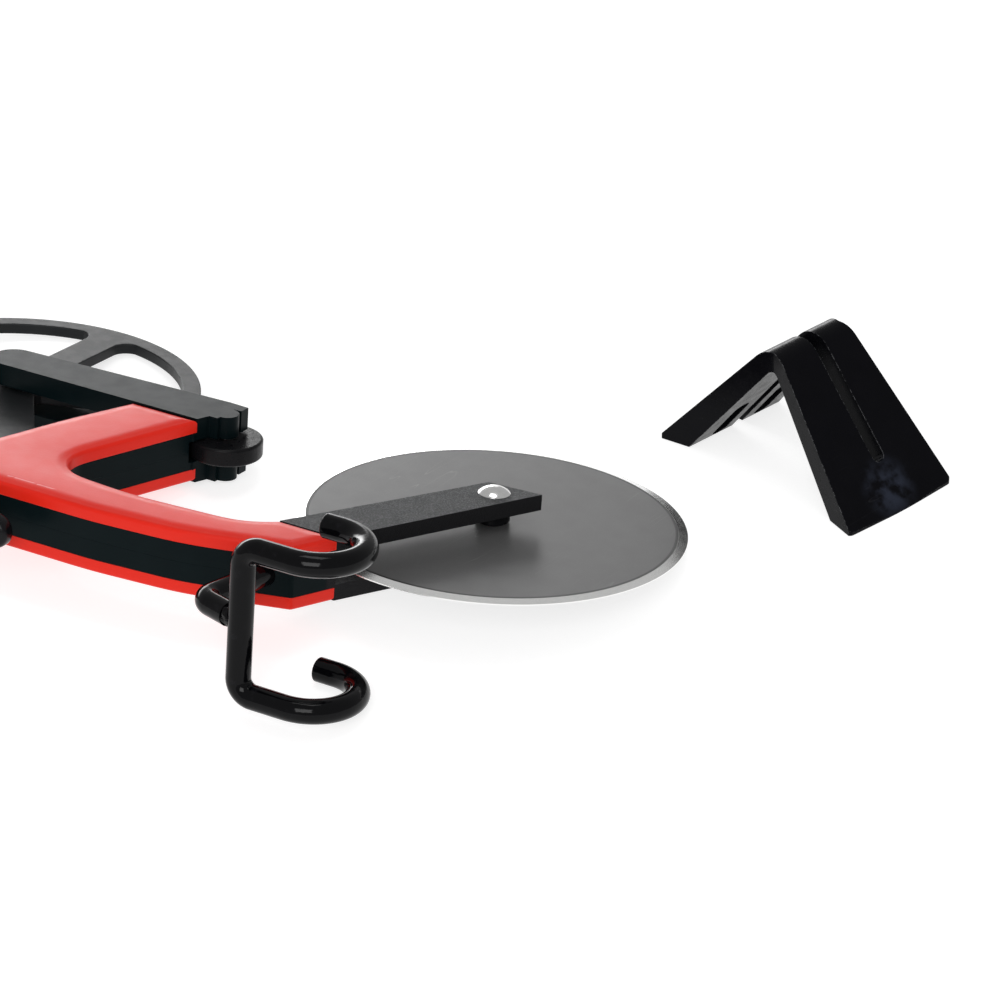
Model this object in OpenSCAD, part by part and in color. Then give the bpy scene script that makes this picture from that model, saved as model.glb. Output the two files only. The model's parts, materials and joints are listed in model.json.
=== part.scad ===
// Bicycle-shaped pizza cutter lying on its right side, with its slotted stand beside it.
// The bicycle is drawn in its own frame: X forward, Y down towards the ground its wheels would
// roll on, Z out of its left side, with the front axle through the origin. It is then laid on
// the table, where it rests on its lower handlebar hook and its rear wheel.

/* [Wheels] */
// Radius of both wheels
wheel_r = 35; // [32:0.5:38]
// Gap between the two wheels' edges
wheel_gap = 34; // [28:0.5:40]
// Thickness of the front cutting disc
blade_t = 1; // [0.8:0.1:1.4]
// Width of the ground bevel round the cutting disc
blade_bevel = 1.8; // [1:0.1:3]
// Thickness of the spoked rear wheel
rear_wheel_t = 2.1; // [1.6:0.1:2.4]
// Width of the rear wheel's rim
rim_w = 3.5; // [2.5:0.1:6]
// Width of each spoke
spoke_w = 6.8; // [4:0.1:8]
// Number of spokes
spoke_count = 5; // [4:1:6]
// Radius of the rear wheel's hub
hub_r = 7; // [5.5:0.1:9]

/* [Frame] */
// Thickness of the black core between the two covers
core_t = 7.1; // [6.8:0.1:9]
// Thickness of each red cover
cover_t = 2.75; // [2:0.05:3.5]
// Height of the top tube above the wheels' tops
frame_over_wheel = 15.3; // [12:0.1:21]
// Depth of the top tube
top_tube_h = 9.7; // [9:0.1:12]
// Length of the seat tube across, along the axle line
seat_tube_w = 14.2; // [13:0.1:17]
// Width of each chain stay at the bracket
stay_w = 10.8; // [9:0.1:12]
// Thickness of each fork blade
fork_t = 3; // [2.4:0.1:3.6]
// How far each fork blade's face lies under the cover's face
fork_drop = 0.3; // [0.1:0.1:0.8]

/* [Bracket] */
// Distance from the bracket's middle back to the rear wheel's edge
bracket_gap = 11.7; // [9:0.1:14]
// Radius of the bracket drum
drum_r = 6.9; // [5:0.05:7.5]
// Thickness of the bracket drum
drum_t = 3.4; // [2.8:0.1:4]

/* [Handlebar] */
// Diameter of the bent steel rod
rod_d = 4.4; // [3.6:0.1:5.3]
// Half the distance between the two drops
bar_half = 13.4; // [11.5:0.1:17]
// Height of the handlebar above the wheels' tops
bar_over_wheel = 27.2; // [25:0.1:33]
// Distance from the front axle back to the crossbar
bar_back = 13; // [11:0.1:14]
// Radius of each drop, on the rod's centreline
drop_r = 8.1; // [7:0.1:9]
// Depth of the stem in the head
quill_depth = 8; // [5:0.5:9]

/* [Saddle] */
// Length of the saddle
saddle_l = 31; // [26:0.5:34]
// Width of the saddle's tail
saddle_w = 14; // [10:0.5:18]
// Width of the saddle's nose
saddle_nose_w = 6; // [5:0.5:8]
// Thickness of the saddle
saddle_t = 3.6; // [3:0.1:4.5]
// Diameter of the seat post
post_d = 4; // [3:0.1:4.4]

/* [Stand] */
// Distance between the outer edges of the two feet
stand_span = 50.2; // [44:0.2:58]
// Height at which the stand's two outer faces would meet
stand_apex = 28.6; // [24:0.2:34]
// Width of the stand at its feet
stand_w = 27.2; // [24:0.2:34]
// Width of the stand at its ridge
ridge_w = 17.2; // [14:0.2:20]
// Thickness of the stand's wall at the ridge
stand_wall = 3.7; // [3.2:0.1:4.6]
// Depth of each foot, from its outer to its inner edge
foot_depth = 6.9; // [5.5:0.1:9]
// Width of the slot that holds a wheel
slot_w = 2.7; // [2.6:0.1:3.4]
// Turn of the stand on the table
stand_turn = -17.9; // [-30:0.1:0]

/* [Fits] */
// Radial clearance of a turning hole on its pin
running_gap = 0.06; // [0.03:0.01:0.1]
// Radial clearance of a fixed pin or screw in its hole
fixed_gap = 0.02; // [0.01:0.01:0.05]
// Gap between a turning piece and its neighbour
side_gap = 0.3; // [0.3:0.05:0.5]
// Gap between a wheel's edge and the frame
edge_gap = 1.2; // [0.8:0.1:2]

/* [Hidden] */
$fn = 96;
tiny = 0.01;
corner_steps = 8;

wheelbase = 2 * wheel_r + wheel_gap;
bracket_back = wheelbase - wheel_r - bracket_gap;
frame_rise = wheel_r + frame_over_wheel;
bar_rise = wheel_r + bar_over_wheel;

core_half = core_t / 2;
frame_half = core_half + cover_t;
fork_face = frame_half - fork_drop;
fork_inner = fork_face - fork_t;
stay_inner = max(drum_t / 2 + side_gap + 0.05, rear_wheel_t / 2 + 2 * side_gap);
stay_t = frame_half - stay_inner;
rod_r = rod_d / 2;
post_r = post_d / 2;
bracket_down = 1.1;
bracket_boss_r = 2.3;
drum_edge = 0.5;
stay_top = bracket_down + 5 - stay_w;
stay_end_r = 4.35;

// The seat tube and its post lean back by this angle from the axle line.
seat_angle = 72.8;
// The fork crown's lower edge, where the covers stop.
crown_rise = wheel_r - 0.6;
crown_front = -11.6;
crown_back = -23.4;
head_front = -15.1;
head_rise = wheel_r + 7.7;

function seat_back(rise) = (rise + stay_top) / tan(seat_angle);
seat_foot = -bracket_back - 2.7;

// Axle pins
rivet_r = 1.5;
rivet_head_r = 3;
rivet_head_h = 1.2;
bush_r = 2.5;
spacer_r = 3.1;
rear_pin_r = 1.5;
rear_pin_depth = 2.6;
bracket_pin_r = 1.2;
bracket_pin_depth = 2.4;

// Where the halves, covers and screws meet: [x, y] in the bicycle's frame
tube_middle = frame_rise - 5;
function in_seat_tube(rise) = [seat_foot - seat_tube_w / 2 - seat_back(rise), -rise];
screw_places = [
    in_seat_tube(17.5), [seat_foot - 13, -tube_middle],
    [seat_foot + 11, -tube_middle], [-30.5, 2 - tube_middle],
];
peg_places = [in_seat_tube(32), [seat_foot - 1, -tube_middle]];
stud_places = [
    in_seat_tube(9), in_seat_tube(25), [seat_foot - 7, -tube_middle],
    [-40, 0.5 - tube_middle], [-25.2, 1.7 - head_rise],
];
screw_r = 0.9;
screw_head_r = 2;
screw_head_h = 1.4;
screw_tip = core_half - 1;
peg_r = 1.2;
peg_h = 1.5;
stud_r = 1.1;
stud_h = 1.3;

bevel_w = 1.3;
bevel_slope = 62;

// Saddle and seat post
saddle_nose_x = seat_foot - 4;
saddle_rise = frame_rise + 5.3;
post_depth = 11;
post_foot = in_seat_tube(frame_rise - post_depth);
post_head = in_seat_tube(saddle_rise + saddle_t / 2);

// Handlebar and stem
bar_bend = 3;
drop_front = -3.7;
drop_tail = 3.5;
stem_corner = [-22.9, 3.3 - bar_rise];
stem_foot = [-19.1, -(head_rise - quill_depth + 2)];
stem_bend = 2.9;
stem_end_gap = 0.9;
crossbar = [-bar_back, -bar_rise];
stem_end = crossbar + (stem_corner - crossbar) / norm(stem_corner - crossbar) * (rod_r + stem_end_gap);
weld_r = 1.9;

// The bicycle leans on the lower drop and on whichever of these it meets first: [y, z, radius]
rivet_ball_r = (pow(rivet_head_r, 2) + pow(rivet_head_h, 2)) / (2 * rivet_head_h);
lower_drop = [-(bar_rise - 2 * drop_r), -bar_half, rod_r];
other_rests = [
    [wheel_r, -rear_wheel_t / 2, 0],
    [stay_top + stay_w, -frame_half, 0],
    [0, rivet_ball_r - fork_face - rivet_head_h, rivet_ball_r],
];
function lean(rest) =
    let (across = rest[0] - lower_drop[0], up = rest[1] - lower_drop[1])
    atan2(up, across) - asin((rest[2] - lower_drop[2]) / norm([across, up]));
tilt = min([for (rest = other_rests) lean(rest)]);
rest_h = lower_drop[2] + lower_drop[0] * sin(tilt) - lower_drop[1] * cos(tilt);

// Stand
stand_slope = atan(stand_apex / (stand_span / 2));
leg_length = norm([stand_apex, stand_span / 2]);
ridge_r = 4.6;
arch_r = 1.6;
slot_reach = 0.705;
slot_off = 0.7;
side_draft = 11;
foot_bow = 0.6;
foot_corner = 1.2;
foot_reach = stand_span / 2 - foot_bow;
foot_side = stand_w / 2 + tiny;

// The stand seen from above: each foot bows out in the middle and has rounded corners.
stand_outline = rounded([
    [foot_reach, -foot_side, foot_corner],
    [foot_reach + foot_bow, 0, 90],
    [foot_reach, foot_side, foot_corner],
    [-foot_reach, foot_side, foot_corner],
    [-foot_reach - foot_bow, 0, 90],
    [-foot_reach, -foot_side, foot_corner],
]);
pocket_out = 5.5;
pocket_w = 3.6;
pocket_d = 1.2;
pocket_from = 0.61;
pocket_to = 0.83;

// Place of the stand beside the bicycle, and of the whole set about its middle
stand_x = 34.2;
stand_y = 56.3;
set_back = -wheelbase - wheel_r;
set_front = stand_x + max([for (p = stand_outline) p[0] * cos(stand_turn) - p[1] * sin(stand_turn)]);
set_near = -(bar_rise) * cos(tilt) - bar_half * sin(tilt) - rod_r;
set_far = stand_y + max([for (p = stand_outline) p[0] * sin(stand_turn) + p[1] * cos(stand_turn)]);
set_middle = [(set_back + set_front) / 2, (set_near + set_far) / 2];

// Arc that rounds the corner at b, between a and c, with radius r
function corner(a, b, c, r) =
    let (
        to_a = (a - b) / norm(a - b),
        to_c = (c - b) / norm(c - b),
        half = acos(to_a * to_c) / 2,
        bisector = (to_a + to_c) / norm(to_a + to_c),
        centre = b + bisector * r / sin(half),
        from = b + to_a * r / tan(half) - centre,
        to = b + to_c * r / tan(half) - centre,
        start = atan2(from[1], from[0]),
        turn = (atan2(to[1], to[0]) - start + 540) % 360 - 180
    )
    [for (i = [0:corner_steps])
        let (angle = start + turn * i / corner_steps) centre + r * [cos(angle), sin(angle)]];

// Outline through points [x, y, corner radius]
function rounded(points) =
    let (n = len(points), at = function (i) [points[(i + n) % n][0], points[(i + n) % n][1]])
    [for (i = [0:n - 1])
        let (r = points[i][2]) each (r > 0 ? corner(at(i - 1), at(i), at(i + 1), r) : [at(i)])];

module on_table() {
    translate([-set_middle[0], -set_middle[1], rest_h]) rotate([-tilt, 0, 0]) children();
}

module ring(outer, inner, bottom, top) {
    translate([0, 0, bottom]) difference() {
        cylinder(r = outer, h = top - bottom);
        translate([0, 0, -1]) cylinder(r = inner, h = top - bottom + 2);
    }
}

module at_rear_axle() { translate([-wheelbase, 0, 0]) children(); }
module at_bracket() { translate([-bracket_back, bracket_down, 0]) children(); }
module at_places(places) { for (p = places) translate([p[0], p[1], 0]) children(); }

// Frame

module tube_outline() {
    polygon(rounded([
        [crown_front, -crown_rise, 0],
        [head_front, -head_rise, 1],
        [-34, -(frame_rise - 1.7), 40],
        [seat_foot + 8, -frame_rise, 60],
        [seat_foot - seat_tube_w - seat_back(frame_rise), -frame_rise, 7],
        [seat_foot - seat_tube_w - seat_back(19) - 0.7, -19, 60],
        [seat_foot - seat_tube_w, stay_top, 0],
        [seat_foot, stay_top, 0],
        [seat_foot - seat_back(frame_rise - top_tube_h) + 0.6, -(frame_rise - top_tube_h - 2), 7.4],
        [seat_foot + 10, -(frame_rise - top_tube_h - 0.3), 60],
        [-28, -(frame_rise - top_tube_h - 2.2), 12],
        [crown_back, -crown_rise, 0],
    ]));
}

module fork_outline() {
    polygon([
        [crown_front - 1.4, -crown_rise - 3], [7.3, 4.5],
        [-3.2, 3.6], [crown_back - 0.4, -crown_rise - 1],
    ]);
}

module stay_outline() {
    end_y = stay_top + stay_end_r;
    polygon([
        [-wheelbase, stay_top], [seat_foot, stay_top], [seat_foot + 0.9, stay_top + 2.6],
        [-bracket_back, stay_top + 2.6], [-bracket_back, bracket_down + 2.4],
        [-bracket_back + 1.6, bracket_down + 2.4], [-bracket_back + 1.6, stay_top + stay_w - 0.2],
        [-bracket_back - 2.4, stay_top + stay_w], [-wheelbase, end_y + stay_end_r],
    ]);
    translate([-wheelbase, end_y]) circle(r = stay_end_r);
    translate([-bracket_back, bracket_down]) circle(r = bracket_boss_r);
}

module bracket_web() {
    polygon([
        [seat_foot - seat_tube_w + 3, stay_top - 1], [seat_foot, stay_top - 1],
        [seat_foot, stay_top + stay_w - 1.5], [seat_foot - 6, stay_top + stay_w - 1.5],
    ]);
}

module along(a, b) {
    way = b - a;
    translate([a[0], a[1], 0]) rotate([0, 0, atan2(way[1], way[0])]) rotate([0, 90, 0]) children();
}

module frame_half() {
    difference() {
        union() {
            linear_extrude(core_half) tube_outline();
            linear_extrude(core_half) bracket_web();
            translate([0, 0, stay_inner]) linear_extrude(stay_t) stay_outline();
            difference() {
                linear_extrude(fork_face) fork_outline();
                translate([-60, -crown_rise - 20, core_half]) cube([70, 20, fork_face]);
            }
        }
        translate([0, 0, -1]) cylinder(r = wheel_r + edge_gap, h = fork_inner + 1);
        cylinder(r = rivet_r + fixed_gap, h = 20);
        at_rear_axle() {
            translate([0, 0, -1]) cylinder(r = wheel_r + edge_gap, h = stay_inner + 1);
            cylinder(r = rear_pin_r + fixed_gap, h = stay_inner + rear_pin_depth);
        }
        at_bracket() {
            translate([0, 0, -1]) cylinder(r = drum_r + edge_gap, h = stay_inner + 1);
            cylinder(r = bracket_pin_r + fixed_gap, h = stay_inner + bracket_pin_depth);
        }
        along(stem_foot, stem_corner) cylinder(r = rod_r + fixed_gap, h = 30);
        along(post_foot, post_head) cylinder(r = post_r + fixed_gap, h = 30);
        at_places(stud_places) translate([0, 0, core_half - stud_h - 0.1])
            cylinder(r = stud_r + fixed_gap, h = 4);
    }
}

module frame_half_left() {
    color([0.08, 0.1, 0.11]) on_table() difference() {
        frame_half();
        at_places(screw_places) translate([0, 0, -1]) cylinder(r = screw_r + fixed_gap, h = screw_tip + 1.2);
        at_places(peg_places) translate([0, 0, -1]) cylinder(r = peg_r + fixed_gap, h = peg_h + 1.2);
    }
}

module frame_half_right() {
    color([0.08, 0.1, 0.11]) on_table() {
        difference() {
            mirror([0, 0, 1]) frame_half();
            at_places(screw_places) {
                translate([0, 0, -core_half - 1]) cylinder(r = screw_r + 0.15, h = core_half + 2);
                translate([0, 0, -core_half - 1]) cylinder(r = screw_head_r + 0.15, h = 1 + screw_head_h);
            }
        }
        at_places(peg_places) translate([0, 0, -tiny]) cylinder(r = peg_r, h = peg_h + tiny);
    }
}

module frame_screws() {
    color("silver") on_table() at_places(screw_places) difference() {
        union() {
            translate([0, 0, -core_half]) cylinder(r = screw_head_r, h = screw_head_h);
            translate([0, 0, -core_half]) cylinder(r = screw_r, h = core_half + screw_tip);
        }
        for (a = [0, 90]) rotate([0, 0, a]) translate([-1.2, -0.25, -core_half - 1]) cube([2.4, 0.5, 1.7]);
    }
}

// What a bevel takes off: all that lies outside a face sloping down at this angle
module outward_bevel(turn, slope, length) {
    rotate([0, 0, turn]) rotate([slope, 0, 0]) translate([-length / 2, -10, 0]) cube([length, 10, 6]);
}

// A cover's outer face falls away along the top tube and at the front of the head.
module cover() {
    difference() {
        union() {
            translate([0, 0, core_half]) linear_extrude(cover_t) tube_outline();
            at_places(stud_places) translate([0, 0, core_half - stud_h])
                cylinder(r = stud_r, h = stud_h + tiny);
        }
        translate([-60, -(frame_rise - bevel_w), frame_half]) outward_bevel(0, bevel_slope, 90);
        translate([head_front - 0.2, -head_rise + 2.2, frame_half]) outward_bevel(65, bevel_slope, 30);
    }
}

module cover_left() { color([0.86, 0.14, 0.09]) on_table() cover(); }
module cover_right() { color([0.86, 0.14, 0.09]) on_table() mirror([0, 0, 1]) cover(); }

// Front wheel

module front_blade() {
    color([0.33, 0.33, 0.34]) on_table() difference() {
        rotate_extrude() polygon([
            [0, -blade_t / 2], [wheel_r - blade_bevel, -blade_t / 2], [wheel_r, -0.1],
            [wheel_r, 0.1], [wheel_r - blade_bevel, blade_t / 2], [0, blade_t / 2],
        ]);
        translate([0, 0, -blade_t]) cylinder(r = bush_r + fixed_gap, h = 2 * blade_t);
    }
}

module front_hub_bush() {
    color("dimgray") on_table() ring(bush_r, rivet_r + running_gap, -blade_t / 2, blade_t / 2);
}

module front_spacer() { ring(spacer_r, rivet_r + fixed_gap, blade_t / 2 + side_gap, fork_inner); }
module front_spacer_left() { color([0.05, 0.05, 0.05]) on_table() front_spacer(); }
module front_spacer_right() { color([0.05, 0.05, 0.05]) on_table() mirror([0, 0, 1]) front_spacer(); }

module rivet_dome() {
    translate([0, 0, fork_face]) intersection() {
        translate([0, 0, rivet_head_h - rivet_ball_r]) sphere(r = rivet_ball_r);
        cylinder(r = rivet_head_r, h = 2 * rivet_head_h);
    }
}

module front_rivet_post() {
    color("silver") on_table() {
        rivet_dome();
        translate([0, 0, -fork_face]) cylinder(r = rivet_r, h = 2 * fork_face + tiny);
    }
}

module front_rivet_cap() {
    color("silver") on_table() mirror([0, 0, 1]) rivet_dome();
}

// Rear wheel

module spoked_outline() {
    difference() {
        circle(r = wheel_r);
        difference() {
            circle(r = wheel_r - rim_w);
            circle(r = hub_r);
            for (i = [0:spoke_count - 1]) rotate(90 + 360 / spoke_count * i) spoke_outline();
        }
    }
}

// A spoke flares into the rim on both sides.
module spoke_outline() {
    root = wheel_r - rim_w;
    flare = 3;
    translate([0, -spoke_w / 2]) square([root + 1, spoke_w]);
    for (side = [0, 1]) mirror([0, side]) difference() {
        translate([root - flare - 0.6, spoke_w / 2 - 0.5]) square([flare + 1.6, flare + 0.5]);
        translate([root - flare - 0.6, spoke_w / 2 + flare]) circle(r = flare);
    }
}

module rear_wheel() {
    color([0.2, 0.2, 0.21]) on_table() at_rear_axle() difference() {
        translate([0, 0, -rear_wheel_t / 2]) linear_extrude(rear_wheel_t) spoked_outline();
        translate([0, 0, -rear_wheel_t]) cylinder(r = rear_pin_r + running_gap, h = 2 * rear_wheel_t);
    }
}

module rear_axle_pin() {
    reach = stay_inner + rear_pin_depth - 0.1;
    color("silver") on_table() at_rear_axle()
        translate([0, 0, -reach]) cylinder(r = rear_pin_r, h = 2 * reach);
}

module rear_washer() {
    at_rear_axle() ring(3, rear_pin_r + fixed_gap, rear_wheel_t / 2 + side_gap, stay_inner);
}

module rear_washer_left() { color("dimgray") on_table() rear_washer(); }
module rear_washer_right() { color("dimgray") on_table() mirror([0, 0, 1]) rear_washer(); }

// Bracket

module bracket_drum() {
    flat_r = drum_r - drum_edge;
    flat_half = drum_t / 2 - drum_edge;
    color([0.06, 0.06, 0.07]) on_table() at_bracket() difference() {
        union() {
            translate([0, 0, -drum_t / 2]) cylinder(r = flat_r, h = drum_t);
            translate([0, 0, -flat_half]) cylinder(r = drum_r, h = 2 * flat_half);
            for (z = [-flat_half, flat_half])
                rotate_extrude() translate([flat_r, z]) circle(r = drum_edge);
        }
        translate([0, 0, -drum_t]) cylinder(r = bracket_pin_r + running_gap, h = 2 * drum_t);
    }
}

module bracket_pin() {
    reach = stay_inner + bracket_pin_depth - 0.1;
    color("silver") on_table() at_bracket()
        translate([0, 0, -reach]) cylinder(r = bracket_pin_r, h = 2 * reach);
}

// Handlebar

module elbow(bend, from, turn) {
    rotate_extrude(angle = turn, start = from) translate([bend, 0]) circle(r = rod_r);
}

module drop() {
    translate([-bar_back + bar_bend, -bar_rise, bar_half - bar_bend])
        rotate([90, 0, 0]) elbow(bar_bend, 90, 90);
    translate([-bar_back + bar_bend, -bar_rise, bar_half])
        rotate([0, 90, 0]) cylinder(r = rod_r, h = drop_front + bar_back - bar_bend);
    translate([drop_front, -bar_rise + drop_r, bar_half]) elbow(drop_r, -90, 180);
    translate([drop_front, -bar_rise + 2 * drop_r, bar_half])
        rotate([0, -90, 0]) cylinder(r = rod_r, h = drop_tail);
}

module handlebar() {
    straight = bar_half - bar_bend;
    color([0.04, 0.04, 0.04]) on_table() {
        translate([-bar_back, -bar_rise, -straight]) cylinder(r = rod_r, h = 2 * straight);
        drop();
        mirror([0, 0, 1]) drop();
    }
}

// The stem rises from the head, turns forward and stops short of the crossbar.
module stem() {
    up = stem_corner - stem_foot;
    on = stem_end - stem_corner;
    turn = atan2(on[1], on[0]) - atan2(up[1], up[0]);
    set = stem_bend * tan(turn / 2);
    rise = norm(up) - set;
    color([0.04, 0.04, 0.04]) on_table() translate([stem_foot[0], stem_foot[1], 0])
        rotate([0, 0, atan2(up[1], up[0])]) {
            rotate([0, 90, 0]) cylinder(r = rod_r, h = rise);
            translate([rise, stem_bend, 0]) {
                elbow(stem_bend, -90, turn);
                rotate([0, 0, turn]) translate([-tiny, -stem_bend, 0])
                    rotate([0, 90, 0]) cylinder(r = rod_r, h = norm(on) - set + tiny);
            }
        }
}

// The weld fills the gap between the stem's end and the crossbar.
module stem_weld() {
    color([0.12, 0.12, 0.12]) on_table() difference() {
        along(stem_end, crossbar) cylinder(r = weld_r, h = norm(crossbar - stem_end));
        translate([crossbar[0], crossbar[1], -10]) cylinder(r = rod_r, h = 20);
    }
}

// Saddle

module saddle() {
    tail_x = saddle_nose_x - saddle_l;
    nose = saddle_nose_w / 2;
    tail = saddle_w / 2;
    color([0.03, 0.03, 0.03]) on_table() difference() {
        translate([0, -saddle_rise, 0]) rotate([90, 0, 0]) linear_extrude(saddle_t) polygon(rounded([
            [saddle_nose_x, nose, nose - 0.1], [saddle_nose_x - 0.45 * saddle_l, nose + 0.8, 12],
            [tail_x + 0.25 * saddle_l, tail, 8], [tail_x, tail - 0.5, 4],
            [tail_x, -tail + 0.5, 4], [tail_x + 0.25 * saddle_l, -tail, 8],
            [saddle_nose_x - 0.45 * saddle_l, -nose - 0.8, 12], [saddle_nose_x, -nose, nose - 0.1],
        ]));
        along(post_foot, post_head) cylinder(r = post_r + fixed_gap, h = norm(post_head - post_foot) + 0.1);
    }
}

module seat_post() {
    color([0.04, 0.04, 0.04]) on_table()
        along(post_foot, post_head) cylinder(r = post_r, h = norm(post_head - post_foot));
}

// Stand

// One leg in side view, from the middle of the ridge to its foot
module leg_profile() {
    outer = stand_span / 2;
    inner = outer - foot_depth;
    intersection() {
        polygon(rounded([
            [-outer, 0, 0], [0, stand_apex, ridge_r], [outer, 0, 0],
            [inner, 0, 0], [0, stand_apex - stand_wall / cos(stand_slope), arch_r], [-inner, 0, 0],
        ]));
        square(2 * stand_span);
    }
}

// Draws its children at the apex, with X running down the leg and Z square out of its outer face.
module down_leg() {
    translate([0, 0, stand_apex]) rotate([0, stand_slope, 0]) children();
}

// A hole with rounded ends, as high as it is given from the level it starts at
module long_hole(from, to, width, level, height) {
    translate([from, -width / 2, level]) cube([to - from, width, height]);
    for (x = [from, to]) translate([x, 0, level]) cylinder(r = width / 2, h = height);
}

// The leg's sides widen towards the foot and lean in under its outer face.
module leg() {
    flare = atan((stand_w - ridge_w) / 2 / leg_length);
    difference() {
        translate([0, stand_w, 0]) rotate([90, 0, 0]) linear_extrude(2 * stand_w) leg_profile();
        down_leg() {
            for (side = [0, 1]) mirror([0, side, 0])
                translate([0, ridge_w / 2, 0]) rotate([0, 0, flare]) rotate([-side_draft, 0, 0])
                    translate([-stand_span, 0, -stand_span]) cube(2 * stand_span);
            for (side = [-1, 1]) translate([0, slot_off + side * pocket_out, pocket_d - stand_wall - 20])
                long_hole(pocket_from * leg_length, pocket_to * leg_length, pocket_w, 0, 20);
        }
    }
}

// The slot ends above the front foot and runs out through the back one.
module stand() {
    color([0.05, 0.05, 0.05]) translate([stand_x - set_middle[0], stand_y - set_middle[1], 0])
        rotate([0, 0, stand_turn]) difference() {
            intersection() {
                union() {
                    leg();
                    mirror([1, 0, 0]) leg();
                }
                linear_extrude(stand_apex) polygon(stand_outline);
            }
            translate([0, slot_off, 0]) {
                down_leg() long_hole(-2, slot_reach * leg_length, slot_w, -20, 40);
                mirror([1, 0, 0]) down_leg() long_hole(-2, leg_length + 10, slot_w, -20, 40);
            }
        }
}

frame_half_left();
frame_half_right();
cover_left();
cover_right();
frame_screws();
front_blade();
front_hub_bush();
front_spacer_left();
front_spacer_right();
front_rivet_post();
front_rivet_cap();
rear_wheel();
rear_axle_pin();
rear_washer_left();
rear_washer_right();
bracket_drum();
bracket_pin();
handlebar();
stem();
stem_weld();
saddle();
seat_post();
stand();
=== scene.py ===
"""Looks of the bicycle-shaped pizza cutter and its stand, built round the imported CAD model."""
import json
import math

import bmesh
import bpy
from mathutils import Matrix, Vector
from mathutils.geometry import tessellate_polygon


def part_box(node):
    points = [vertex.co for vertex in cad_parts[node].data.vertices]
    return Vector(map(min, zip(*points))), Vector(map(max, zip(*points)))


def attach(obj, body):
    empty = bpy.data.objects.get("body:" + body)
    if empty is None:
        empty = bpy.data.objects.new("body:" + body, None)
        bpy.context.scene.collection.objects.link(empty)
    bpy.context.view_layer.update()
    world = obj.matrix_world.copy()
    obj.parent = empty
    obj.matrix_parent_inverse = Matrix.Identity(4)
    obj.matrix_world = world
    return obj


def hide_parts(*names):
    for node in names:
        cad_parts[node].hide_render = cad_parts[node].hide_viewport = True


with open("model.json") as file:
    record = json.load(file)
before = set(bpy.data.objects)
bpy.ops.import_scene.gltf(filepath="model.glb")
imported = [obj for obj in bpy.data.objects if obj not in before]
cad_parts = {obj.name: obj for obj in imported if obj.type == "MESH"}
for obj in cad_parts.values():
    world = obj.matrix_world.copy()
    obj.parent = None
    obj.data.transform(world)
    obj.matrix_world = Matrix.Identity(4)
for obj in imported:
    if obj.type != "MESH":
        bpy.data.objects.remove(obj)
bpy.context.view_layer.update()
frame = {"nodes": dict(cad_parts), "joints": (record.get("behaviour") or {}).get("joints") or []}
nodes = frame["nodes"]
MM = 0.001

# ---------------------------------------------------------------- the bicycle's own axes

joints = {joint["name"]: joint for joint in frame["joints"]}
front_axle = Vector(joints["front_blade_spin"]["pos_m"])
rear_axle = Vector(joints["rear_wheel_spin"]["pos_m"])
left_side = Vector(joints["front_blade_spin"]["axis"]).normalized()
forward = (front_axle - rear_axle).normalized()
downward = left_side.cross(forward)
tilt = math.atan2(left_side.y, left_side.z)
wheel_radius = (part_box("front_blade")[1].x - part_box("front_blade")[0].x) / 2


def turned(x, y, z):
    """A direction given in the bicycle's axes, in the frame's axes."""
    return forward * x + downward * y + left_side * z


def placed(x, y, z):
    """A place in the bicycle's axes, in millimetres from the front axle, in the frame's metres."""
    return front_axle + turned(x, y, z) * MM


# ---------------------------------------------------------------- camera, light and floor

CAMERA_AZIMUTH = math.radians(28.03)
CAMERA_ELEVATION = math.radians(22.78)
CAMERA_ROLL = math.radians(4.07)
CAMERA_DISTANCE = 745.1
CAMERA_TARGET = (-4.21, 10.27, 0.0)
CAMERA_LENS = 148.47
BRIGHT_SIDE = (-0.78, 0.61, 0.12)
BRIGHT_SIDE_STRENGTH = 8.0
# Roughly the cosines of the angles from its middle at which it ends and is full
BRIGHT_SIDE_SPREAD = (0.84, 0.99)
# Heights between which it fades upwards, as a share of straight up
BRIGHT_SIDE_FADE = (0.12, 0.29)
WORLD_STRENGTH = 0.5


def make_camera():
    """Sets the camera by its angles to the bicycle's own plane."""
    az, el, roll = CAMERA_AZIMUTH, CAMERA_ELEVATION, CAMERA_ROLL
    back = Vector((math.sin(az) * math.cos(el), -math.cos(az) * math.cos(el), math.sin(el)))
    right = (-back).cross(Vector((0, 0, 1))).normalized()
    up = right.cross(-back)
    rolled_right = right * math.cos(roll) + up * math.sin(roll)
    rolled_up = up * math.cos(roll) - right * math.sin(roll)
    axes = [turned(*v) for v in (rolled_right, rolled_up, back)]
    data = bpy.data.cameras.new("camera")
    data.lens = CAMERA_LENS
    data.sensor_width = 36
    data.clip_start = 0.01
    data.clip_end = 50
    camera = bpy.data.objects.new("camera", data)
    bpy.context.scene.collection.objects.link(camera)
    spin = Matrix(axes).transposed().to_4x4()
    spot = placed(*CAMERA_TARGET) + turned(*back) * CAMERA_DISTANCE * MM
    camera.matrix_world = Matrix.Translation(spot) @ spin
    bpy.context.scene.camera = camera


def make_world():
    """Even soft light, with one broad bright side low behind the bicycle's rear."""
    world = bpy.data.worlds.new("studio")
    world.use_nodes = True
    tree = world.node_tree
    background = tree.nodes["Background"]
    background.inputs["Color"].default_value = (1, 1, 1, 1)
    direction = coordinates(tree, "Generated")
    towards = vector_maths(tree, "DOT_PRODUCT", direction, BRIGHT_SIDE)
    round_it = ramp(tree, towards, *BRIGHT_SIDE_SPREAD, 0.0, BRIGHT_SIDE_STRENGTH)
    low_down = ramp(tree, split(tree, direction)[2], *BRIGHT_SIDE_FADE, 1.0, 0.0)
    glow = maths(tree, "MULTIPLY", round_it, low_down)
    join(tree, maths(tree, "ADD", glow, WORLD_STRENGTH), background.inputs["Strength"])
    bpy.context.scene.world = world


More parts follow.
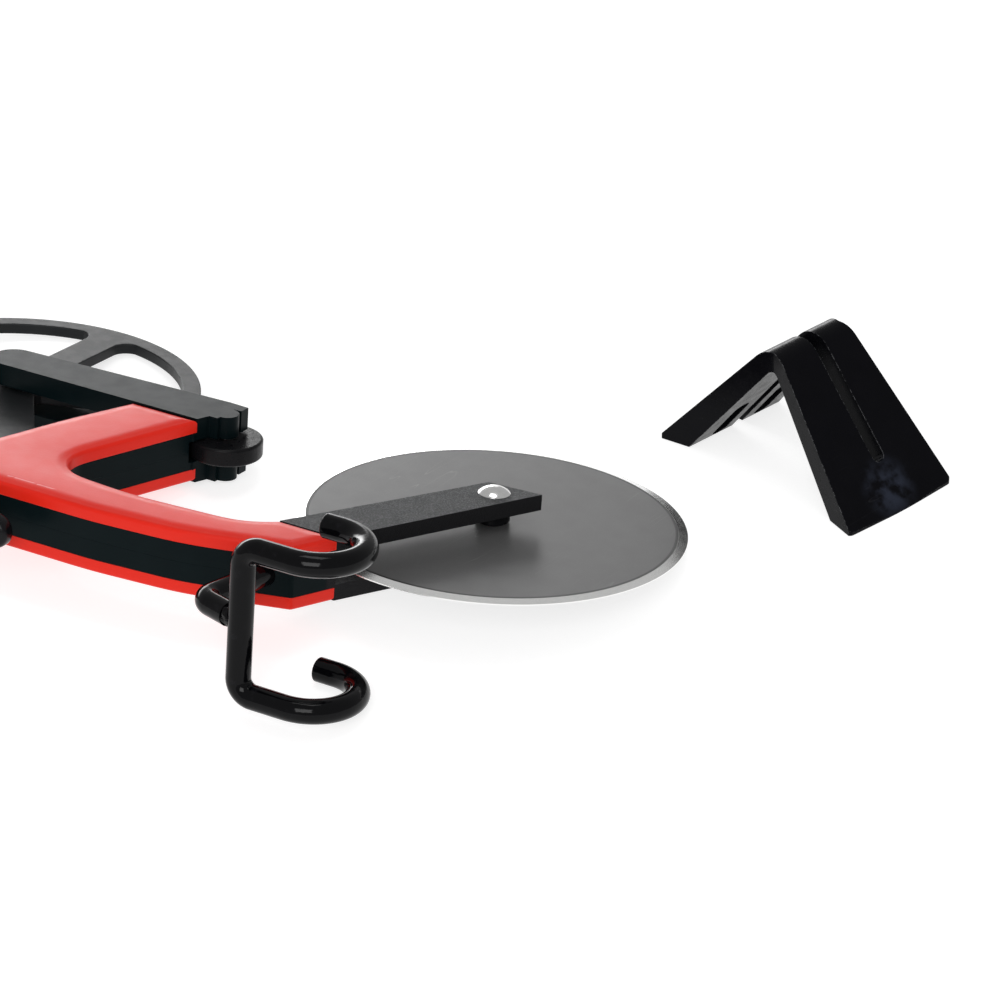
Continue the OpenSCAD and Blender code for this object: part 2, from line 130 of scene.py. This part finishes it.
def make_softbox(name, place, aim, width, height, watts):
    """A rectangular area light at a place, facing its aim."""
    data = bpy.data.lights.new(name, "AREA")
    data.shape = "RECTANGLE"
    data.size = width
    data.size_y = height
    data.energy = watts
    light = bpy.data.objects.new(name, data)
    bpy.context.scene.collection.objects.link(light)
    light.location = place
    light.rotation_mode = "QUATERNION"
    light.rotation_quaternion = (Vector(aim) - Vector(place)).to_track_quat("-Z", "Y")


def make_floor():
    """Paper just under the object, glowing so that it stays near white and its shadows pale."""
    mesh = bpy.data.meshes.new("floor")
    side = 5.0
    level = -0.05 * MM
    corners = [(-side, -side), (side, -side), (side, side), (-side, side)]
    mesh.from_pydata([(x, y, level) for x, y in corners], [], [(0, 1, 2, 3)])
    floor = bpy.data.objects.new("floor", mesh)
    bpy.context.scene.collection.objects.link(floor)
    tree, surface = new_material("floor_paper", (0.45, 0.45, 0.45), 0.9, 0.1)
    surface.inputs["Emission Color"].default_value = (1, 1, 1, 1)
    surface.inputs["Emission Strength"].default_value = 0.74
    mesh.materials.append(bpy.data.materials["floor_paper"])
    grain = noise_at(tree, coordinates(tree), 400, 3)
    join(tree, bumped(tree, grain, 0.02), surface.inputs["Normal"])


def make_backdrop():
    """A white ring wall far out on the floor; only the camera sees it, so it lights nothing."""
    radius, top, sides = 4.0, 2.0, 48
    mesh = bpy.data.meshes.new("backdrop")
    turns = [2 * math.pi * i / sides for i in range(sides)]
    ring = [(radius * math.cos(turn), radius * math.sin(turn)) for turn in turns]
    corners = [(x, y, z) for z in (0.0, top) for x, y in ring]
    walls = [(i, (i + 1) % sides, (i + 1) % sides + sides, i + sides) for i in range(sides)]
    mesh.from_pydata(corners, [], walls)
    wall = bpy.data.objects.new("backdrop", mesh)
    bpy.context.scene.collection.objects.link(wall)
    surface = new_material("backdrop_paper", (0.0, 0.0, 0.0), 1.0, 0.0)[1]
    surface.inputs["Emission Color"].default_value = (1, 1, 1, 1)
    surface.inputs["Emission Strength"].default_value = 1.0
    mesh.materials.append(bpy.data.materials["backdrop_paper"])
    wall.visible_diffuse = False
    wall.visible_glossy = False
    wall.visible_transmission = False
    wall.visible_shadow = False


# ---------------------------------------------------------------- helpers for material nodes

def new_material(name, colour, roughness, specular, metallic=0.0):
    """A material with one Principled surface; returns its node tree and that surface."""
    material = bpy.data.materials.new(name)
    material.use_nodes = True
    tree = material.node_tree
    surface = tree.nodes["Principled BSDF"]
    surface.inputs["Base Color"].default_value = (*colour, 1)
    surface.inputs["Roughness"].default_value = roughness
    surface.inputs["Specular IOR Level"].default_value = specular
    surface.inputs["Metallic"].default_value = metallic
    return tree, surface


def join(tree, output, socket):
    tree.links.new(output, socket)


def coordinates(tree, kind="Object"):
    """A piece's own coordinates, in the frame's metres, or another kind of coordinates."""
    return tree.nodes.new("ShaderNodeTexCoord").outputs[kind]


def bicycle_coordinates(tree):
    """A piece's coordinates along the bicycle's axes, in millimetres from the front axle."""
    mapping = tree.nodes.new("ShaderNodeMapping")
    turn = Matrix.Rotation(tilt, 3, "X")
    mapping.inputs["Scale"].default_value = (1 / MM,) * 3
    mapping.inputs["Rotation"].default_value = (tilt, 0, 0)
    mapping.inputs["Location"].default_value = -(turn @ front_axle) / MM
    join(tree, coordinates(tree), mapping.inputs["Vector"])
    return mapping.outputs["Vector"]


def stand_coordinates(tree):
    """A piece's coordinates along the stand's own axes, in millimetres from its middle."""
    mapping = tree.nodes.new("ShaderNodeMapping")
    lo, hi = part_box("stand")
    middle = Vector(((lo.x + hi.x) / 2, (lo.y + hi.y) / 2, 0))
    turn = Matrix.Rotation(-STAND_TURN, 3, "Z")
    mapping.inputs["Scale"].default_value = (1 / MM,) * 3
    mapping.inputs["Rotation"].default_value = (0, 0, -STAND_TURN)
    mapping.inputs["Location"].default_value = -(turn @ middle) / MM
    join(tree, coordinates(tree), mapping.inputs["Vector"])
    return mapping.outputs["Vector"]


def noise_at(tree, vector, scale, detail=2.0):
    node = tree.nodes.new("ShaderNodeTexNoise")
    node.inputs["Scale"].default_value = scale
    node.inputs["Detail"].default_value = detail
    join(tree, vector, node.inputs["Vector"])
    return node.outputs["Fac"]


def stretched(tree, vector, scale):
    """Coordinates scaled by a different amount along each axis."""
    node = tree.nodes.new("ShaderNodeMapping")
    node.inputs["Scale"].default_value = scale
    join(tree, vector, node.inputs["Vector"])
    return node.outputs["Vector"]


def ramp(tree, value, low, high, to_low=0.0, to_high=1.0):
    """Maps low..high on to to_low..to_high, held at both ends."""
    node = tree.nodes.new("ShaderNodeMapRange")
    node.clamp = True
    node.interpolation_type = "SMOOTHSTEP"
    node.inputs["From Min"].default_value = low
    node.inputs["From Max"].default_value = high
    node.inputs["To Min"].default_value = to_low
    node.inputs["To Max"].default_value = to_high
    join(tree, value, node.inputs["Value"])
    return node.outputs["Result"]


def maths(tree, operation, first, second=0.0):
    """One sum; either side may be a number or a socket."""
    node = tree.nodes.new("ShaderNodeMath")
    node.operation = operation
    for socket, value in zip(node.inputs, (first, second)):
        if isinstance(value, (int, float)):
            socket.default_value = value
        else:
            join(tree, value, socket)
    return node.outputs["Value"]


def vector_maths(tree, operation, first, second):
    """A dot product or distance from a socket to another socket, or to a fixed vector."""
    node = tree.nodes.new("ShaderNodeVectorMath")
    node.operation = operation
    join(tree, first, node.inputs[0])
    if isinstance(second, (tuple, Vector)):
        node.inputs[1].default_value = second
    else:
        join(tree, second, node.inputs[1])
    return node.outputs["Value"]


def split(tree, vector):
    node = tree.nodes.new("ShaderNodeSeparateXYZ")
    join(tree, vector, node.inputs["Vector"])
    return node.outputs["X"], node.outputs["Y"], node.outputs["Z"]


def blended(tree, share, first, second):
    """The first colour where the share is 0 and the second where it is 1."""
    node = tree.nodes.new("ShaderNodeMix")
    node.data_type = "RGBA"
    for socket, colour in ((node.inputs[6], first), (node.inputs[7], second)):
        if isinstance(colour, tuple):
            socket.default_value = (*colour, 1)
        else:
            join(tree, colour, socket)
    join(tree, share, node.inputs["Factor"])
    return node.outputs[2]


def bumped(tree, height, depth_mm, under=None):
    """A bump of a real depth, over another bump if one is given."""
    node = tree.nodes.new("ShaderNodeBump")
    node.inputs["Strength"].default_value = 1.0
    node.inputs["Distance"].default_value = depth_mm * MM
    join(tree, height, node.inputs["Height"])
    if under is not None:
        join(tree, under, node.inputs["Normal"])
    return node.outputs["Normal"]


def scratches(tree, vector, scale, rarity):
    """Thin wandering lines: 1 on a line, 0 elsewhere. A higher rarity leaves fewer."""
    line = noise_at(tree, stretched(tree, vector, (scale, scale * 0.06, scale)), 1.0, 1.0)
    near = maths(tree, "ABSOLUTE", maths(tree, "SUBTRACT", line, 0.5))
    thin = ramp(tree, near, 0.0, 0.006, 1.0, 0.0)
    kept = ramp(tree, noise_at(tree, vector, scale * 0.12, 1.0), rarity, rarity + 0.05)
    return maths(tree, "MULTIPLY", thin, kept)


# Lightens edges as wear on the red covers and the rear wheel, and as painted highlights on the stand.
def edges_worn_and_highlighted(tree, radius_mm):
    """1 where a sharp edge is close, 0 on open faces."""
    bevel = tree.nodes.new("ShaderNodeBevel")
    bevel.samples = 4
    bevel.inputs["Radius"].default_value = radius_mm * MM
    geometry = tree.nodes.new("ShaderNodeNewGeometry")
    agreement = vector_maths(tree, "DOT_PRODUCT", bevel.outputs["Normal"], geometry.outputs["Normal"])
    return ramp(tree, agreement, 0.90, 0.995, 1.0, 0.0)


# ---------------------------------------------------------------- materials

# The fork is ahead of this and below this, in millimetres from the front axle.
FORK_BACK = -27.0
FORK_TOP = -36.0
# How far in from the disc's rim its ground edge ends, and the painted groove shade's sides lie, in
# millimetres
GROUND_EDGE = 1.7
PAINTED_GROOVE_SHADE_SIDES = (2.25, 1.75)
STAND_TURN = math.radians(-17.9)
# Middle of the smudge, in the stand's own axes: out along the front leg, across, and up
SMUDGE_PLACE = (22.0, -0.5, 4.0)


def red_plastic():
    """Glossy moulded red: faint clouding, a fine moulded skin, and paler rubbed edges."""
    tree, surface = new_material("red_plastic", (0.80, 0.016, 0.006), 0.34, 0.16)
    here = bicycle_coordinates(tree)
    cloud = noise_at(tree, here, 0.07, 3)
    clouded = blended(tree, cloud, (0.66, 0.015, 0.006), (0.73, 0.021, 0.010))
    patchy = ramp(tree, noise_at(tree, here, 0.9), 0.4, 0.7)
    edge_wear_and_highlight = maths(tree, "MULTIPLY", edges_worn_and_highlighted(tree, 0.25), patchy)
    join(tree, blended(tree, maths(tree, "MULTIPLY", edge_wear_and_highlight, 0.35), clouded, (0.95, 0.14, 0.08)),
         surface.inputs["Base Color"])
    gloss = ramp(tree, noise_at(tree, here, 0.35, 4), 0.3, 0.7, 0.31, 0.37)
    join(tree, gloss, surface.inputs["Roughness"])
    skin = bumped(tree, noise_at(tree, here, 2.6, 4), 0.012)
    lines = scratches(tree, here, 0.5, 0.62)
    join(tree, bumped(tree, lines, -0.006, skin), surface.inputs["Normal"])


def core_plastic():
    """Dark moulded plastic: smooth on the stays and the core; coarse and flecked on the fork, whose
    broad faces get a painted sheen that makes them lighter than its walls."""
    tree, surface = new_material("core_plastic", (0.002, 0.005, 0.006), 0.4, 0.06)
    here = bicycle_coordinates(tree)
    along, down = split(tree, here)[:2]
    ahead = ramp(tree, along, FORK_BACK - 0.5, FORK_BACK + 0.5)
    fork = maths(tree, "MULTIPLY", ahead, ramp(tree, down, FORK_TOP - 0.5, FORK_TOP + 0.5))
    fleck = ramp(tree, noise_at(tree, here, 4.6, 4), 0.45, 0.70)
    # Painted sheen: fork faces that point sideways get a lighter colour than its walls; the fleck in
    # that colour is the moulding's own grain.
    sideways = vector_maths(tree, "DOT_PRODUCT", coordinates(tree, "Normal"), left_side)
    broad = ramp(tree, maths(tree, "ABSOLUTE", sideways), 0.8, 0.97)
    fleck_and_painted_sheen_colour = blended(tree, fleck, (0.045, 0.046, 0.048), (0.120, 0.122, 0.125))
    fork_colour = blended(tree, broad, (0.012, 0.012, 0.013), fleck_and_painted_sheen_colour)
    cloud = noise_at(tree, here, 0.2, 3)
    smooth_colour = blended(tree, cloud, (0.0012, 0.0042, 0.0052), (0.0026, 0.0070, 0.0080))
    join(tree, blended(tree, fork, smooth_colour, fork_colour), surface.inputs["Base Color"])
    satin = ramp(tree, noise_at(tree, here, 0.3, 4), 0.3, 0.7, 0.31, 0.37)
    duller = maths(tree, "MULTIPLY", fork, 0.14)
    join(tree, maths(tree, "ADD", satin, duller), surface.inputs["Roughness"])
    coarse = maths(tree, "MULTIPLY", noise_at(tree, here, 4.6, 5), ramp(tree, fork, 0, 1, 0.06, 1.0))
    join(tree, bumped(tree, coarse, 0.16), surface.inputs["Normal"])


def blade_steel():
    """A dark non-stick coat with scratches, a near-black ring of painted groove shade and a bare ground
    edge.
    """
    tree, surface = new_material("coated_blade", (0.07, 0.07, 0.071), 0.35, 0.3)
    here = bicycle_coordinates(tree)
    along, down = split(tree, here)[:2]
    squares = [maths(tree, "MULTIPLY", side, side) for side in (along, down)]
    radius = maths(tree, "POWER", maths(tree, "ADD", *squares), 0.5)
    rim = wheel_radius / MM
    bare = ramp(tree, radius, rim - GROUND_EDGE - 0.05, rim - GROUND_EDGE + 0.05)
    # Painted shade: a near-black ring between these radii stands in for the shade of a groove.
    inner, outer = (rim - side for side in PAINTED_GROOVE_SHADE_SIDES)
    past_inner = ramp(tree, radius, inner - 0.05, inner + 0.05)
    before_outer = ramp(tree, radius, outer - 0.05, outer + 0.05, 1, 0)
    painted_groove_shade = maths(tree, "MULTIPLY", past_inner, before_outer)
    turned_marks = noise_at(tree, stretched(tree, here, (0.9, 0.9, 30)), 1.0, 5)
    ring = tree.nodes.new("ShaderNodeCombineXYZ")
    join(tree, radius, ring.inputs["X"])
    rings = noise_at(tree, ring.outputs["Vector"], 9.0, 3)
    speck = ramp(tree, noise_at(tree, here, 5.0, 3), 0.60, 0.72)
    lines = scratches(tree, here, 0.33, 0.55)
    cloud = noise_at(tree, here, 0.12, 4)
    coat = blended(tree, cloud, (0.066, 0.066, 0.066), (0.074, 0.074, 0.074))
    coat = blended(tree, maths(tree, "MULTIPLY", speck, 0.35), coat, (0.13, 0.13, 0.13))
    coat = blended(tree, maths(tree, "MULTIPLY", lines, 0.30), coat, (0.20, 0.20, 0.20))
    coat = blended(tree, painted_groove_shade, coat, (0.008, 0.008, 0.008))
    metal = blended(tree, turned_marks, (0.80, 0.80, 0.79), (0.97, 0.97, 0.96))
    join(tree, blended(tree, bare, coat, metal), surface.inputs["Base Color"])
    join(tree, bare, surface.inputs["Metallic"])
    coat_rough = ramp(tree, noise_at(tree, here, 0.2, 5), 0.3, 0.7, 0.33, 0.37)
    smoother = maths(tree, "MULTIPLY", bare, 0.10)
    join(tree, maths(tree, "SUBTRACT", coat_rough, smoother), surface.inputs["Roughness"])
    skin = bumped(tree, noise_at(tree, here, 4.0, 3), 0.010)
    join(tree, bumped(tree, rings, 0.004, skin), surface.inputs["Normal"])


def wheel_plastic():
    """Satin dark grey with a fine moulded grain and slight rubbing on its edges."""
    tree, surface = new_material("wheel_plastic", (0.012, 0.012, 0.013), 0.42, 0.15)
    here = bicycle_coordinates(tree)
    tint = blended(tree, noise_at(tree, here, 0.15, 4), (0.008, 0.009, 0.010), (0.014, 0.015, 0.016))
    edge_wear_and_highlight = maths(tree, "MULTIPLY", edges_worn_and_highlighted(tree, 0.3), 0.4)
    join(tree, blended(tree, edge_wear_and_highlight, tint, (0.13, 0.13, 0.13)), surface.inputs["Base Color"])
    gloss = ramp(tree, noise_at(tree, here, 0.5, 4), 0.3, 0.7, 0.38, 0.44)
    join(tree, gloss, surface.inputs["Roughness"])
    join(tree, bumped(tree, noise_at(tree, here, 4.5, 3), 0.012), surface.inputs["Normal"])


def black_paint():
    """Gloss black paint on the bent rod, with a slight orange peel and a few dull marks."""
    tree, surface = new_material("black_paint", (0.001, 0.001, 0.0012), 0.12, 0.13)
    here = bicycle_coordinates(tree)
    marks = ramp(tree, noise_at(tree, here, 0.5, 5), 0.55, 0.75)
    join(tree, ramp(tree, marks, 0, 1, 0.09, 0.24), surface.inputs["Roughness"])
    join(tree, blended(tree, marks, (0.0015, 0.0015, 0.002), (0.004, 0.004, 0.005)),
         surface.inputs["Base Color"])
    join(tree, bumped(tree, noise_at(tree, here, 0.9, 2), 0.02), surface.inputs["Normal"])


def satin_black():
    """Small moulded pieces: satin black with a fine skin."""
    tree, surface = new_material("satin_black", (0.004, 0.004, 0.005), 0.34, 0.12)
    here = bicycle_coordinates(tree)
    cloud = noise_at(tree, here, 0.5, 3)
    join(tree, blended(tree, cloud, (0.002, 0.002, 0.0025), (0.006, 0.006, 0.007)),
         surface.inputs["Base Color"])
    gloss = ramp(tree, noise_at(tree, here, 1.1, 4), 0.3, 0.7, 0.26, 0.40)
    join(tree, gloss, surface.inputs["Roughness"])
    join(tree, bumped(tree, noise_at(tree, here, 4.0, 3), 0.02), surface.inputs["Normal"])


def polished_steel():
    """Rivet, pins and screws: bright steel with faint polishing marks."""
    tree, surface = new_material("polished_steel", (0.72, 0.72, 0.71), 0.16, 0.5, 1.0)
    here = bicycle_coordinates(tree)
    marks = noise_at(tree, stretched(tree, here, (1.2, 9.0, 1.2)), 1.0, 4)
    join(tree, ramp(tree, marks, 0.3, 0.7, 0.11, 0.24), surface.inputs["Roughness"])
    join(tree, blended(tree, marks, (0.62, 0.62, 0.61), (0.80, 0.80, 0.79)),
         surface.inputs["Base Color"])
    join(tree, bumped(tree, marks, 0.004), surface.inputs["Normal"])


def saddle_plastic():
    """Gloss black with a soft skin."""
    tree, surface = new_material("saddle_plastic", (0.003, 0.003, 0.004), 0.2, 0.16)
    here = bicycle_coordinates(tree)
    join(tree, blended(tree, noise_at(tree, here, 0.4, 3), (0.002, 0.002, 0.003), (0.005, 0.005, 0.006)),
         surface.inputs["Base Color"])
    gloss = ramp(tree, noise_at(tree, here, 0.7, 4), 0.3, 0.7, 0.14, 0.28)
    join(tree, gloss, surface.inputs["Roughness"])
    join(tree, bumped(tree, noise_at(tree, here, 1.6, 3), 0.02), surface.inputs["Normal"])


def stand_plastic():
    """Near-black satin gloss: a bluish smudge under the slot, scratches, and painted highlights in
    dashes along its edges.
    """
    tree, surface = new_material("stand_plastic", (0.002, 0.002, 0.003), 0.24, 0.05)
    here = stand_coordinates(tree)
    away = vector_maths(tree, "DISTANCE", here, SMUDGE_PLACE)
    patch = maths(tree, "MULTIPLY", ramp(tree, away, 2.0, 7.0, 1.0, 0.0),
                  ramp(tree, noise_at(tree, here, 0.35, 5), 0.35, 0.65))
    lines = scratches(tree, here, 0.45, 0.62)
    patchy = ramp(tree, noise_at(tree, here, 1.3, 4), 0.42, 0.62)
    # Painted highlights: edges lightened in dashes, standing in for light caught on the stand's rounded
    # edges.
    edge_wear_and_highlight = maths(tree, "MULTIPLY", edges_worn_and_highlighted(tree, 0.22), patchy)
    cloud = noise_at(tree, here, 0.2, 3)
    tint = blended(tree, cloud, (0.0014, 0.0014, 0.0022), (0.0030, 0.0030, 0.0042))
    tint = blended(tree, maths(tree, "MULTIPLY", patch, 0.6), tint, (0.030, 0.036, 0.055))
    tint = blended(tree, maths(tree, "MULTIPLY", lines, 0.12), tint, (0.06, 0.06, 0.07))
    join(tree, blended(tree, maths(tree, "MULTIPLY", edge_wear_and_highlight, 0.60), tint, (0.20, 0.20, 0.21)),
         surface.inputs["Base Color"])
    gloss = ramp(tree, noise_at(tree, here, 0.5, 4), 0.3, 0.7, 0.20, 0.30)
    duller = maths(tree, "MULTIPLY", patch, 0.20)
    join(tree, maths(tree, "ADD", gloss, duller), surface.inputs["Roughness"])
    skin = bumped(tree, noise_at(tree, here, 2.2, 3), 0.012)
    join(tree, bumped(tree, lines, -0.01, skin), surface.inputs["Normal"])


# How many times each point of a slab's outline is averaged with its neighbours
SMOOTHING_ROUNDS = 9
# Where the covers' inner faces lie, and how slabs are rounded, in millimetres: thickness, radius
# underneath, radius above, fall of the crown towards that radius, and width of the crown's slope.
CORE_HALF = 3.55
COVER_SHAPE = {"thick": 2.75, "under": 0.12, "round": 0.7, "drop": 0.3, "crown": 2.0}
SADDLE_SHAPE = {"thick": 3.6, "under": 0.8, "round": 1.2, "drop": 0.5, "crown": 1.5}

# Material of each CAD node
FINISHES = {
    "core_plastic": ["frame_half_left", "frame_half_right"],
    "red_plastic": ["cover_left", "cover_right"],
    "coated_blade": ["front_blade"],
    "wheel_plastic": ["rear_wheel"],
    "black_paint": ["handlebar", "stem", "stem_weld", "seat_post"],
    "satin_black": ["bracket_drum", "front_hub_bush", "front_spacer_left", "front_spacer_right",
                    "rear_washer_left", "rear_washer_right"],
    "polished_steel": ["front_rivet_post", "front_rivet_cap", "rear_axle_pin", "bracket_pin",
                       "frame_screws"],
    "saddle_plastic": ["saddle"],
    "stand_plastic": ["stand"],
}
# Radius of each node's rounded edges, in millimetres
EDGES = {
    "frame_half_left": 0.14, "frame_half_right": 0.14,
    "rear_wheel": 0.25, "stand": 0.45, "front_spacer_left": 0.15, "front_spacer_right": 0.15,
    "handlebar": 0.35, "front_rivet_post": 0.12, "front_rivet_cap": 0.12,
}


def paint(piece, material_name):
    """Gives a piece one material in place of whatever it had."""
    piece.data.materials.clear()
    piece.data.materials.append(bpy.data.materials[material_name])


def round_edges(piece, radius_mm):
    """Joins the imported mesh's split faces, clears its flat triangles and rounds its edges."""
    weld = piece.modifiers.new("weld", "WELD")
    weld.merge_threshold = 0.002 * MM
    flat = piece.modifiers.new("flat", "DECIMATE")
    flat.decimate_type = "DISSOLVE"
    flat.angle_limit = math.radians(0.3)
    bevel = piece.modifiers.new("bevel", "BEVEL")
    bevel.width = radius_mm * MM
    bevel.segments = 4
    bevel.limit_method = "ANGLE"
    bevel.angle_limit = math.radians(32)
    bevel.miter_outer = "MITER_ARC"
    bevel.use_clamp_overlap = True
    normals = piece.modifiers.new("normals", "WEIGHTED_NORMAL")
    normals.keep_sharp = False
    normals.weight = 60


def outline_of(node_name, across, along, out, level):
    """The longest closed loop round a node's flat face at one height, as points in millimetres along
    the first two directions from the front axle."""
    mesh = bmesh.new()
    mesh.from_mesh(nodes[node_name].data)
    bmesh.ops.remove_doubles(mesh, verts=mesh.verts, dist=0.002 * MM)
    for vertex in mesh.verts:
        offset = (vertex.co - front_axle) / MM
        vertex.co = (offset.dot(across), offset.dot(along), offset.dot(out))
    flat = {face for face in mesh.faces if all(abs(v.co.z - level) < 0.02 for v in face.verts)}
    border = [edge for edge in mesh.edges if sum(face in flat for face in edge.link_faces) == 1]
    unused = set(border)
    loops = []
    for first in border:
        if first not in unused:
            continue
        loop = [first.verts[0]]
        following = first
        while following is not None:
            unused.discard(following)
            loop.append(following.other_vert(loop[-1]))
            following = next((edge for edge in loop[-1].link_edges if edge in unused), None)
        loops.append([vertex.co.to_2d() for vertex in loop[:-1]])
    mesh.free()
    longest = max(loops, key=lambda loop: sum((a - b).length for a, b in sides_of(loop)))
    area = sum(a.x * b.y - b.x * a.y for a, b in sides_of(longest))
    return longest if area > 0 else longest[::-1]


def sides_of(loop):
    """The two ends of each side of a closed loop."""
    return zip(loop, loop[1:] + loop[:1])


def turn_at(loop, index):
    """How sharply a loop turns at one point, in degrees."""
    before = loop[index] - loop[index - 1]
    after = loop[(index + 1) % len(loop)] - loop[index]
    return math.degrees(abs(before.angle_signed(after)))


def smoothed(loop, spacing, sharp):
    """The loop in even steps with soft curves; corners of more than sharp degrees stay."""
    stepped = []
    corners = set()
    for index, point in enumerate(loop):
        if turn_at(loop, index) > sharp:
            corners.add(len(stepped))
        following = loop[(index + 1) % len(loop)]
        count = max(1, round((following - point).length / spacing))
        stepped += [point.lerp(following, step / count) for step in range(count)]
    for _ in range(SMOOTHING_ROUNDS):
        stepped = [
            point if index in corners else
            (point * 2 + stepped[index - 1] + stepped[(index + 1) % len(stepped)]) / 4
            for index, point in enumerate(stepped)
        ]
    return stepped


def inset(loop, distance):
    """An anticlockwise loop moved inwards, with points that would cross over drawn together."""
    moved = []
    for index, point in enumerate(loop):
        before = (point - loop[index - 1]).normalized()
        after = (loop[(index + 1) % len(loop)] - point).normalized()
        inward = Vector((-before.y - after.y, before.x + after.x)).normalized()
        reach = distance / max(0.5, math.cos(before.angle(after) / 2))
        moved.append(point + inward * reach)
    clear = [
        min(distance_to_edge(point, a, b) for a, b in sides_of(loop)) > distance - 0.05
        for point in moved
    ]
    return [
        moved[index] if clear[index] else moved[nearest_clear(clear, index)]
        for index in range(len(moved))
    ]


def distance_to_edge(point, a, b):
    along = (point - a).dot(b - a) / max((b - a).length_squared, 1e-12)
    return (point - a.lerp(b, min(1, max(0, along)))).length


def nearest_clear(clear, index):
    """The nearest index round a loop, either way, that is marked clear."""
    count = len(clear)
    for step in range(1, count):
        for other in ((index + step) % count, (index - step) % count):
            if clear[other]:
                return other
    return index


def fill(mesh, ring):
    """Closes a flat ring with triangles, leaving out points that lie on the one before."""
    kept = [v for index, v in enumerate(ring) if (v.co - ring[index - 1].co).length > 0.002 * MM]
    for triangle in tessellate_polygon([[vertex.co for vertex in kept]]):
        if len(set(triangle)) == 3:
            mesh.faces.new([kept[index] for index in triangle])


def quarter(radius, count=6):
    """Steps round a quarter circle, as (distance in, height), from the wall to the flat."""
    angles = [math.radians(90 * step / count) for step in range(count + 1)]
    return [(radius * (1 - math.cos(angle)), radius * math.sin(angle)) for angle in angles]


def crowned_slab(node_name, axes, level, shape):
    """A slab over a CAD node's outline: rounded below, and crowned towards its middle above."""
    across, along, out = axes
    outline = smoothed(outline_of(node_name, across, along, out, level), spacing=0.7, sharp=30)
    foot = reversed(quarter(shape["under"]))
    steps = [(distance, shape["under"] - height) for distance, height in foot]
    shoulder = shape["thick"] - shape["drop"] - shape["round"]
    steps += [(distance, shoulder + height) for distance, height in quarter(shape["round"])]
    for share in (0.25, 0.5, 0.75, 1.0):
        rise = shape["thick"] - shape["drop"] * (1 - share) ** 2
        steps.append((shape["round"] + share * shape["crown"], rise))
    mesh = bmesh.new()
    rings = []
    for distance, height in steps:
        base = front_axle + out * (level + height) * MM
        rings.append([
            mesh.verts.new(base + (across * point.x + along * point.y) * MM)
            for point in inset(outline, distance)
        ])
    for lower, upper in zip(rings, rings[1:]):
        for index in range(len(lower)):
            mesh.faces.new([lower[index - 1], lower[index], upper[index], upper[index - 1]])
    fill(mesh, rings[-1])
    fill(mesh, rings[0])
    bmesh.ops.remove_doubles(mesh, verts=mesh.verts, dist=0.002 * MM)
    bmesh.ops.recalc_face_normals(mesh, faces=mesh.faces)
    shade(mesh, 40)
    return mesh


def make_covers():
    """The two red covers, left and right, over the core's faces."""
    for name, out in (("cover_left", left_side), ("cover_right", -left_side)):
        mesh = crowned_slab(name, (forward, downward, out), CORE_HALF, COVER_SHAPE)
        new_piece("crowned_" + name, mesh, "frame", "red_plastic", "red", name)


def make_saddle():
    """The saddle, with its flat side down on the post."""
    heights = [(vertex.co - front_axle).dot(-downward) for vertex in nodes["saddle"].data.vertices]
    underside = min(heights) / MM
    mesh = crowned_slab("saddle", (forward, left_side, -downward), underside, SADDLE_SHAPE)
    new_piece("crowned_saddle", mesh, "frame", "saddle_plastic", "saddle", "saddle")


def roughen_weld():
    """Ripples on the weld bead between the stem and the crossbar."""
    weld = nodes["stem_weld"]
    finer = weld.modifiers.new("finer", "SUBSURF")
    finer.subdivision_type = "SIMPLE"
    finer.levels = 2
    finer.render_levels = 2
    ripples = bpy.data.textures.new("weld_ripples", "CLOUDS")
    ripples.noise_scale = 1.1 * MM
    lumps = weld.modifiers.new("lumps", "DISPLACE")
    lumps.texture = ripples
    lumps.strength = 0.9 * MM
    lumps.mid_level = 0.45


def shade(mesh, sharp):
    """Smooth faces, with every edge that turns by more than sharp degrees kept crisp."""
    for face in mesh.faces:
        face.smooth = True
    for edge in mesh.edges:
        edge.smooth = edge.calc_face_angle(0) < math.radians(sharp)


def new_piece(name, mesh, body, material_name, slot, *replaced):
    """Makes a piece of its own from a mesh, rides it on a body and puts it in for CAD nodes."""
    data = bpy.data.meshes.new(name)
    mesh.to_mesh(data)
    mesh.free()
    piece = bpy.data.objects.new(name, data)
    bpy.context.scene.collection.objects.link(piece)
    data.materials.append(bpy.data.materials[material_name])
    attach(piece, body)
    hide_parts(*replaced)


def finish_cad_nodes():
    """Gives every CAD node its material, and rounds the edges of the nodes in EDGES."""
    for material_name, names in FINISHES.items():
        for name in names:
            paint(nodes[name], material_name)
    for name, radius_mm in EDGES.items():
        round_edges(nodes[name], radius_mm)


# ---------------------------------------------------------------- build

bpy.context.scene.view_settings.view_transform = "Standard"
make_camera()
make_world()
make_softbox("top", place=(0.0, 0.1, 1.0), aim=(0, 0, 0), width=0.45, height=0.3, watts=1.6)
make_softbox("front", place=(0.35, -0.8, 0.6), aim=(0, 0, 0), width=0.5, height=0.5, watts=4.5)
make_floor()
make_backdrop()
red_plastic()
core_plastic()
blade_steel()
wheel_plastic()
black_paint()
satin_black()
polished_steel()
saddle_plastic()
stand_plastic()
finish_cad_nodes()
make_covers()
make_saddle()
roughen_weld()
